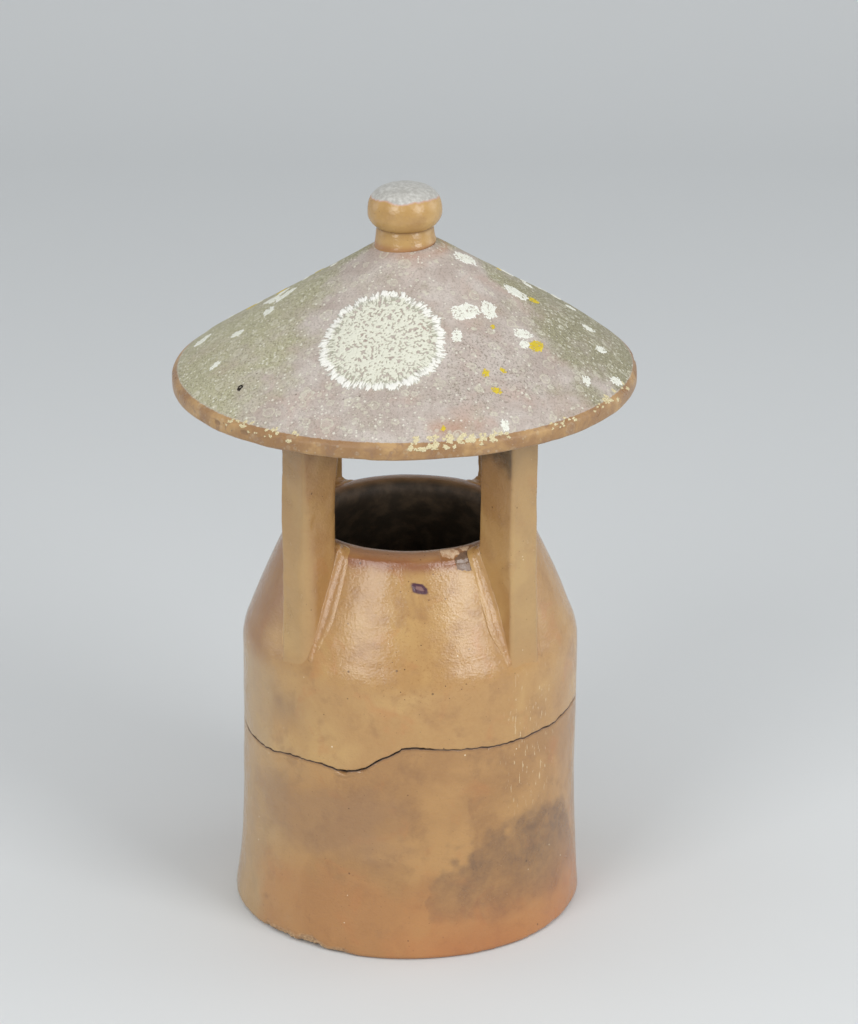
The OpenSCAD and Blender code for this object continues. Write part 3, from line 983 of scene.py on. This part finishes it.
def glaze_relief(g):
    """Orange-peel skin of a salt glaze, finer grit and slow waves, as one bump."""
    peel = g.cells(1.9, (3, 1, 7), "SMOOTH_F1")[0]
    grit = g.noise(0.8, 3.0, 0.7, offset=(9, 2, 5))
    waves = g.noise(14, 2.0, 0.5, offset=(1, 8, 3))
    ripple = g.noise((5, 5, 1.6), 2.0, 0.5, offset=(2, 4, 6))
    height = g.add(g.mul(peel, 0.20), g.mul(grit, 0.14), g.mul(ripple, 0.20), g.mul(waves, 0.5))
    return g.bump(height, 1.0, 0.85)


def salt_glaze(name, tones, detail):
    """Salt-glazed stoneware; detail lays on what is special to a part and returns its roughness."""
    g = Shader(name)
    light, mid, dark, flashed = tones
    large = g.noise(70, 3.0, 0.55, 0.6)
    cloud = g.noise(22, 4.0, 0.6, 0.3, (5, 5, 1))
    g.col = g.mix(g.step(large, 0.38, 0.66), mid, light)
    g.tint(dark, g.step(cloud, 0.48, 0.72), 0.55)
    g.tint(flashed, g.patchy(0.55, 0.72, 36, 3.0, 0.6, 0.8, (7, 3, 8)), 0.5)
    g.tint(light, g.patchy(0.3, 0.75, 4.5, 4.0, 0.65, 0.0, (2, 9, 4)), 0.26)
    g.wall_tone = g.mix(g.step(large, 0.38, 0.66), OCHRE[1], OCHRE[0])
    g.specks = g.dots(3.4, (11, 4, 2), 0, 0.72, 0.20, 0.06)
    g.flecks = g.dots(8.0, (1, 14, 9), 1, 0.80, 0.11, 0.03)
    g.crumbs = g.dots(10.0, (17, 6, 3), 0, 0.70, 0.12, 0.04)
    roughness = detail(g, g.step(cloud, 0.3, 0.8, 0.12, 0.24))
    return g.finish(roughness, glaze_relief(g), 0.7)


def grime(g):
    return g.patchy(0.54, 0.68, 2.3, 4.0, 0.75, 0.0, (14, 2, 6))


def litter(g, speck_tone, speck, soot_tone, soot):
    """Iron specks, soot, runs, salt flecks and crumbs. speck and soot: their least strength and its rise."""
    cloud = g.patchy(0.60, 0.74, 9, 5.0, 0.75, 0.5, (4, 4, 17))
    runs = g.patchy(0.62, 0.68, (2.2, 2.2, 11), 3.0, 0.6, 0.2, (8, 8, 8))
    g.tint(speck_tone, g.specks, g.add(speck[0], g.mul(g.attr("speck"), speck[1])))
    g.tint(soot_tone, cloud, g.add(soot[0], g.mul(g.attr("speck"), soot[1])))
    g.tint(rgb(226, 208, 168), runs, g.attr("drips"), 0.75)
    g.tint(SALT, g.flecks, 0.8)
    g.tint(CRUMB_TONE, g.crumbs, 0.65)


def flue_soot(g, dark, light):
    g.tint(g.mix(g.patchy(0.4, 0.7, 16, 4.0, 0.6), dark, light), g.attr("inside"))


def dull(g, rough, broken):
    """Roughness of a wall where it is broken, cracked or inside."""
    return g.add(rough, g.mul(g.step(broken, 0.2, 0.6), 0.4), g.mul(g.step(g.attr("crack"), 0.3, 0.8), 0.4),
                 g.mul(g.attr("inside"), 0.45))


def lower_wall(g, rough):
    broken, stain = g.attr("broken"), g.attr("stain")
    g.tint(rgb(131, 100, 76), g.attr("patch"), 0.50)
    g.tint(rgb(188, 160, 114), g.attr("left"), 0.5)
    g.tint(rgb(150, 116, 86), g.attr("dusk"), 0.45)
    g.tint(rgb(182, 126, 74), g.attr("warm"), 0.5)
    mottled = g.add(0.62, g.mul(g.patchy(0.35, 0.7, 7, 5.0, 0.7, 0.4, (6, 1, 3)), 0.38))
    g.tint(rgb(122, 93, 68), stain, mottled, 0.78)
    g.tint(rgb(186, 112, 62), g.attr("flash"), 0.55)
    g.tint(rgb(132, 92, 60), grime(g), 0.14)
    litter(g, rgb(92, 62, 40), (0.30, 0.6), rgb(138, 98, 62), (0.10, 0.35))
    bare = g.mix(g.patchy(0.35, 0.7, 2.4, 4.0, 0.7), rgb(150, 112, 78), rgb(206, 172, 128))
    g.tint(bare, g.step(broken, 0.25, 0.6))
    g.tint(rgb(72, 55, 43), g.step(g.attr("crack"), 0.42, 0.90))
    g.tint(rgb(118, 84, 56), g.step(g.attr("crack"), 0.05, 0.35), 0.35)
    flue_soot(g, rgb(74, 63, 49), rgb(108, 90, 70))
    return g.add(dull(g, rough, broken), g.mul(stain, 0.08))


def upper_wall(g, rough):
    g.tint(rgb(131, 100, 76), g.attr("patch"), 0.50)
    low_left = g.step(g.axis("Z"), 262, 232)
    g.tint(g.mix(low_left, rgb(146, 104, 72), rgb(178, 150, 110)), g.attr("left"), 0.7)
    # reddish-brown lip band, partly painted shade under the rim
    g.tint(rgb(146, 92, 66), g.attr("lip"), 0.85)
    g.tint(rgb(168, 132, 112), g.attr("brow"), 0.6)
    g.tint(rgb(158, 108, 62), grime(g), g.add(0.10, g.mul(g.attr("speck"), 0.42)))
    litter(g, IRON, (0.25, 0.75), rgb(142, 102, 64), (0.08, 0.40))
    scar = g.attr("scar")
    g.tint(rgb(84, 50, 62), g.step(scar, 0.05, 0.4))
    g.tint(rgb(150, 114, 108), g.step(scar, 0.80, 0.98), 0.8)
    ragged = g.wander(0.9, 2.2, 3.0, 0.6, 0.0, (5, 15, 5))
    g.tint(rgb(128, 104, 86), g.step(g.add(g.attr("flake"), ragged), 0.42, 0.56))
    broken = g.add(g.attr("broken"), ragged)
    bare = g.mix(g.patchy(0.34, 0.6, 2.6, 3.0, 0.6), rgb(196, 156, 120), rgb(230, 202, 168))
    g.tint(bare, g.step(broken, 0.40, 0.54))
    g.tint(rgb(72, 55, 43), g.step(g.attr("crack"), 0.42, 0.90))
    flue_soot(g, rgb(68, 58, 45), rgb(104, 87, 68))
    return dull(g, rough, broken)


def post_skin(g, rough):
    g.tint(rgb(200, 172, 120), g.attr("outward"), 0.35)
    foot_tone = g.mix(g.mul(g.attr("left"), 0.6), g.wall_tone, rgb(160, 124, 88))
    g.tint(foot_tone, g.attr("foot"), 0.85)
    g.tint(IRON, g.specks, 0.4)
    g.tint(CRUMB_TONE, g.crumbs, 0.6)
    g.tint(SALT, g.flecks, 0.85)
    # darker olive towards the post's top
    dark_olive_top = g.mul(g.attr("dark_olive_top"), g.step(g.noise(11, 4.0, 0.6, 0.4), 0.25, 0.6, 0.6, 1.0))
    g.tint(rgb(62, 54, 36), dark_olive_top, 0.88)
    # painted shade under the hood, darker towards the post's top
    g.tint(rgb(120, 88, 58), g.attr("hood_shade"), 0.25)
    return g.add(rough, 0.06)


def luting_skin(g, rough):
    g.tint(g.wall_tone, g.step(g.attr("toe"), 0.5, 0.95))
    g.tint(IRON, g.specks, 0.45)
    return rough


def knob_skin(g, rough):
    weather = g.attr("weather")
    g.tint(IRON, g.specks, 0.35)
    # painted shade in the groove under the ball
    g.tint(rgb(112, 78, 44), g.attr("groove_shade"), 0.55)
    g.tint(rgb(150, 92, 60), g.attr("foot"), 0.6)
    grey = g.mix(g.patchy(0.35, 0.72, 3.4, 4.0, 0.6), rgb(172, 170, 163), rgb(202, 201, 195))
    g.tint(rgb(196, 160, 140), g.step(weather, 0.05, 0.5))
    g.tint(grey, g.step(weather, 0.45, 0.95))
    return g.add(rough, g.mul(weather, 0.16))


def ring_crusts(g, speckle, live, grain):
    """Round and ring-shaped crusts in four sizes. Gives back where they are and their relief."""
    rings = None
    relief = g.mul(grain, 0.35)
    # size of the cells, offset, share, strength, how hollow, tone
    for size, offset, keep, strength, hollow, tone in (
            (15.0, (3, 3, 3), 0.42, 0.62, 0.8, rgb(212, 208, 188)),
            (10.0, (1, 5, 2), 0.46, 0.62, 0.6, rgb(214, 211, 192)),
            (5.0, (7, 1, 9), 0.62, 0.60, 0.2, rgb(214, 211, 192)),
            (3.1, (2, 8, 5), 0.66, 0.74, 0.0, rgb(232, 230, 215))):
        shift = g.node("ShaderNodeVectorMath", {"operation": "SCALE"}, Scale=0.34)
        noise = g.node("ShaderNodeTexNoise", Vector=g.moved(size * 0.3), Scale=1.0, Detail=3.0)
        g.put(shift.inputs[0], noise.outputs[1])
        wobble = g.node("ShaderNodeVectorMath", {"operation": "ADD"})
        g.put(wobble.inputs[0], g.moved(size, offset))
        g.put(wobble.inputs[1], shift.outputs[0])
        distance, pick = g.cells(size, vector=wobble.outputs[0])
        wide = g.step(g.channel(pick, 1), 0.0, 1.0, 0.18, 0.40)
        there = g.step(g.sub(g.add(g.channel(pick, 0), g.mul(speckle, 0.33)), keep + 0.22), 0.0, 0.04)
        inward = g.sub(wide, distance)
        disc = g.step(inward, 0.0, 0.04)
        rim = g.mul(disc, g.step(inward, 0.07, 0.14, 1.0, 0.0))
        spot = g.math("MAXIMUM", rim, g.mul(disc, 1.0 - hollow))
        spot = g.mul(spot, there, live, g.step(g.noise(1.4, 3.0, 0.7, 0.0, offset), 0.30, 0.50, 0.35, 1.0))
        g.tint(tone, spot, strength)
        relief = g.add(relief, g.mul(spot, 0.25))
        rings = spot if rings is None else g.math("MAXIMUM", rings, spot)
    return rings, relief


def hood_skin():
    """Weathered, matt clay with algae, crusts, ring lichens and pale specks; glazed at its band."""
    g = Shader("weathered_hood_clay")
    band, algae, gritty = g.attr("band"), g.attr("algae"), g.attr("gritty")
    speckle, inside = g.attr("speckle"), g.attr("inside")
    cloud = g.noise(26, 4.0, 0.6, 0.4)
    grain = g.noise(1.9, 4.0, 0.75, 0.0, (3, 7, 1))
    fine = g.noise(0.9, 3.0, 0.7, 0.0, (8, 2, 6))
    g.col = g.mix(g.step(cloud, 0.35, 0.68), rgb(180, 166, 157), rgb(199, 189, 181))
    g.tint(rgb(190, 164, 150), g.patchy(0.5, 0.7, 48, 3.0, 0.6, 0.5, (2, 6, 4)), 0.5)
    green = g.mix(g.step(grain, 0.35, 0.7), rgb(136, 133, 98), rgb(180, 177, 142))
    # painted light and shade: the algae is lighter on the left (-X) side of the hood and darker on the right
    green = g.mix(g.step(g.axis("X"), -20, -120, 0.0, 0.42), green, rgb(204, 201, 166))
    green = g.mix(g.step(g.axis("X"), 50, 140, 0.0, 0.4), green, rgb(126, 122, 96))
    where = g.step(g.add(algae, g.wander(1.0, 9, 5.0, 0.75, 0.5, (4, 4, 4)),
                         g.wander(0.5, 1.7, 3.0, 0.7, 0.0, (9, 4, 4))), 0.0, 1.05)
    g.tint(green, where, 0.9)
    # pale and dark grit
    g.tint(rgb(216, 214, 198), g.step(fine, 0.55, 0.70), g.add(0.22, g.mul(speckle, 0.40)))
    flecks = g.patchy(0.60, 0.66, (1.6, 2.6, 2.6), 5.0, 0.8, 0.3, (6, 6, 1))
    g.tint(rgb(222, 220, 204), flecks, g.add(0.15, g.mul(speckle, 0.75)))
    g.tint(rgb(112, 104, 88), g.step(grain, 0.52, 0.36), g.add(0.40, g.mul(where, 0.20), g.mul(gritty, 0.32)))
    g.tint(rgb(184, 130, 96), g.attr("rust"), 0.45)
    # the glazed band
    shine = g.mix(g.step(cloud, 0.4, 0.7), rgb(156, 120, 82), rgb(188, 152, 104))
    shine = g.mix(g.mul(g.patchy(0.50, 0.66, 9, 4.0, 0.7, 0.6, (5, 1, 2)), 0.7), shine, rgb(146, 114, 88))
    ragged = g.add(g.wander(0.7, 5, 4.0, 0.7, 0.3), g.wander(0.6, 1.6, 3.0, 0.7, 0.0, (1, 1, 6)))
    edge = g.step(g.add(band, ragged), 0.40, 0.66)
    g.tint(shine, edge)
    live = g.mul(g.sub(1.0, inside), g.sub(1.0, g.mul(edge, 0.8)))
    rings, relief = ring_crusts(g, speckle, live, grain)
    g.tint(rgb(84, 72, 56), g.dots(6.5, (13, 3, 8), 0, 0.78, 0.17, 0.05), 0.6, g.sub(1.0, rings))
    g.tint(rgb(150, 118, 84), g.step(g.attr("broken"), 0.2, 0.5))
    under = g.mix(g.patchy(0.4, 0.68, 24, 4.0, 0.6), rgb(140, 104, 72), rgb(176, 136, 96))
    smoked = g.mul(g.patchy(0.45, 0.7, 40, 4.0, 0.65, 0.6, (1, 2, 3)), 0.6)
    g.tint(g.mix(smoked, under, rgb(78, 66, 50)), inside)
    rough = g.add(g.step(cloud, 0.3, 0.7, 0.46, 0.6), g.mul(where, 0.2), g.mul(rings, 0.2), g.mul(edge, -0.2))
    relief = g.add(relief, g.mul(fine, 0.22), g.mul(g.noise(12, 2.0, 0.5, 0.0, (5, 5, 5)), 0.6))
    return g.finish(g.math("MINIMUM", rough, 0.9), g.bump(relief, 1.0, 0.85), 0.4)


def lichen_skin(name, young, old, gap, size, gaps_and_shade):
    """Lichen lobes: pale where young at the rim, duller where old, dark in the gaps between lobes, partly the
    ground between them and partly painted shade in the low valleys.
    """
    g = Shader(name)
    age = g.attr("age")
    g.col = g.mix(g.step(g.add(age, g.wander(0.5, 3.0 * size, 4.0, 0.65)), 0.1, 0.75), old, young)
    fleck = g.patchy(0.60, 0.70, 0.9 * size, 3.0, 0.7, 0.0, (4, 4, 4))
    g.tint(gap, fleck, g.step(age, 0.2, 0.7, 0.55, 0.1))
    # dark gaps between lobes, with painted shade in the low valleys
    g.tint(gap, g.step(g.attr("height"), 0.46 * size, 0.16 * size), gaps_and_shade)
    return g.finish(0.82, g.bump(g.noise(0.8 * size, 3.0, 0.7), 0.35, 0.7), 0.25)


# ---------------------------------------------------------------- the pieces

barrel_lower(salt_glaze("salt_glaze_lower_wall", LOWER, lower_wall))
barrel_upper(salt_glaze("salt_glaze_upper_wall", OCHRE, upper_wall))
post_glaze = salt_glaze("salt_glaze_posts", POST_TONES, post_skin)
luting_glaze = salt_glaze("luting_clay_glaze", LUTE_TONES, luting_skin)
for which in POSTS:
    post(which, post_glaze)
    luting(which, luting_glaze)
hood(hood_skin())
finial(salt_glaze("salt_glaze_knob_skin", KNOB_TONES, knob_skin))

# Growths on the hood: distance from its axis, azimuth, radius
ROSETTE = [(106, -9.6, 50)]
WHITE = [(52, 84, 9), (88, 35, 10), (93, 49, 8), (95, 80, 9), (121, 54, 6.5), (129, 50, 4.5),
         (107, 24, 5), (154, 90, 5), (187, 70, 5.5), (174, 59, 4.5), (186, 26, 4), (100, -98, 8),
         (113, -87, 6), (140, -84, 5), (165, -72, 4), (166, 80, 5)]
YELLOW = [(109, 84, 4.2), (134, 54, 6.4), (142, 27.6, 3.2), (143, 34, 2.4), (158, 28, 3.6), (107, 43, 2.2),
          (182, 10, 2.0)]
CRUMB = [(168.3, -52.8, 2.6)]

# More on the side that isn't seen, and crusts along the front of the rim
rng = np.random.default_rng(5)
WHITE += scatter(rng, 30, (60, 180), (105, 262), (2.5, 8))
YELLOW += scatter(rng, 10, (80, 180), (110, 255), (1.5, 4))
CREAM = scatter(rng, 64, (188, 199), (1.5, 27), (0.9, 2.6))
CREAM += scatter(rng, 26, (189, 198), (-48, -26), (0.7, 1.9))
CREAM += scatter(rng, 30, (190, 199), (38, 78), (0.7, 2.0))

# piece, places, size of its lobes, grid step, grain of its skin, share of dark gaps and painted valley shade,
# then its three tones
for piece, places, lobe, step, grain, gaps_and_shade, *tones in (
        ("lichen_rosette", ROSETTE, 1.0, 0.55, 1.0, 0.62, (238, 237, 230), (221, 221, 205), (124, 120, 98)),
        ("lichen_white", WHITE, 0.62, 0.45, 0.7, 0.35, (240, 240, 233), (232, 233, 221), (140, 136, 112)),
        ("lichen_yellow", YELLOW, 0.5, 0.4, 0.6, 0.5, (228, 206, 70), (212, 188, 58), (150, 132, 52)),
        ("lichen_cream", CREAM, 0.5, 0.4, 0.6, 0.5, (232, 222, 188), (214, 202, 162), (132, 112, 80)),
        ("dark_crumb", CRUMB, 0.5, 0.4, 0.6, 0.5, (58, 50, 42), (44, 38, 32), (30, 26, 22))):
    young, old, gap = (rgb(*tone) for tone in tones)
    crust(piece, places, lobe, step, lichen_skin(piece + "_skin", young, old, gap, grain, gaps_and_shade))


# ---------------------------------------------------------------- floor, light, camera

def plain(name, colour, roughness):
    g = Shader(name)
    g.col = colour
    g.tint(rgb(206, 209, 210), g.noise(900, 2.0, 0.5), 0.05)
    return g.finish(roughness, g.bump(g.noise(3.0), 0.02, 0.3), 0.3)


def studio():
    """A pale floor that sweeps up into a back wall."""
    x = np.linspace(-6, 6, 13)
    a = np.linspace(0, math.pi / 2, 20)
    y = np.concatenate([np.linspace(-6, 2.2, 12), 2.2 + 1.2 * np.sin(a)[1:], [3.4, 3.4]])
    z = np.concatenate([np.zeros(12), 1.2 - 1.2 * np.cos(a)[1:], [3.0, 6.0]])
    grid = np.stack(np.broadcast_arrays(x[:, None], y[None], z[None]), -1)
    mesh = bpy.data.meshes.new("studio_floor")
    mesh.from_pydata(grid.reshape(-1, 3).tolist(), [], grid_faces(len(x), len(y), False, False).tolist())
    mesh.polygons.foreach_set("use_smooth", np.ones(len(mesh.polygons), bool))
    obj = bpy.data.objects.new("studio_floor", mesh)
    bpy.context.scene.collection.objects.link(obj)
    mesh.materials.append(plain("studio_floor_paint", rgb(222, 225, 226), 0.7))


def panel(name, azimuth, elevation, distance, width, height, power, target=(0, 0, 0.35)):
    a, e = math.radians(azimuth), math.radians(elevation)
    away = Vector((math.sin(a) * math.cos(e), -math.cos(a) * math.cos(e), math.sin(e)))
    data = bpy.data.lights.new(name, "AREA")
    data.shape = "RECTANGLE"
    data.size, data.size_y = width, height
    data.energy = power
    obj = bpy.data.objects.new(name, data)
    obj.location = Vector(target) + away * distance
    obj.rotation_euler = (-away).to_track_quat("-Z", "Y").to_euler()
    bpy.context.scene.collection.objects.link(obj)


studio()
panel("soft_left", -33, 28, 3.2, 1.3, 2.2, 36)
panel("soft_right", 46, 28, 3.2, 1.3, 2.2, 44)
panel("side_left", -104, 16, 3.0, 1.6, 1.8, 9)
panel("side_right", 104, 16, 3.0, 1.6, 1.8, 13)
panel("soft_top", 0, 80, 3.0, 3.0, 3.0, 20)

world = bpy.data.worlds.new("studio_air")
world.use_nodes = True
world.node_tree.nodes["Background"].inputs[0].default_value = rgb(240, 241, 243)
world.node_tree.nodes["Background"].inputs[1].default_value = 0.45
bpy.context.scene.world = world
bpy.context.scene.view_settings.view_transform = "Standard"

lens = bpy.data.cameras.new("camera")
lens.sensor_fit = "VERTICAL"
lens.sensor_height = 36
lens.lens = 4200 / 1024 * 36
lens.clip_end = 50
camera = bpy.data.objects.new("camera", lens)
camera.location = (0, -3.333, 1.664)
pitch, yaw = math.radians(21.5), math.radians(0.30)
camera.rotation_euler = (math.pi / 2 - pitch, 0, -yaw)
bpy.context.scene.collection.objects.link(camera)
bpy.context.scene.camera = camera

bpy.context.view_layer.update()
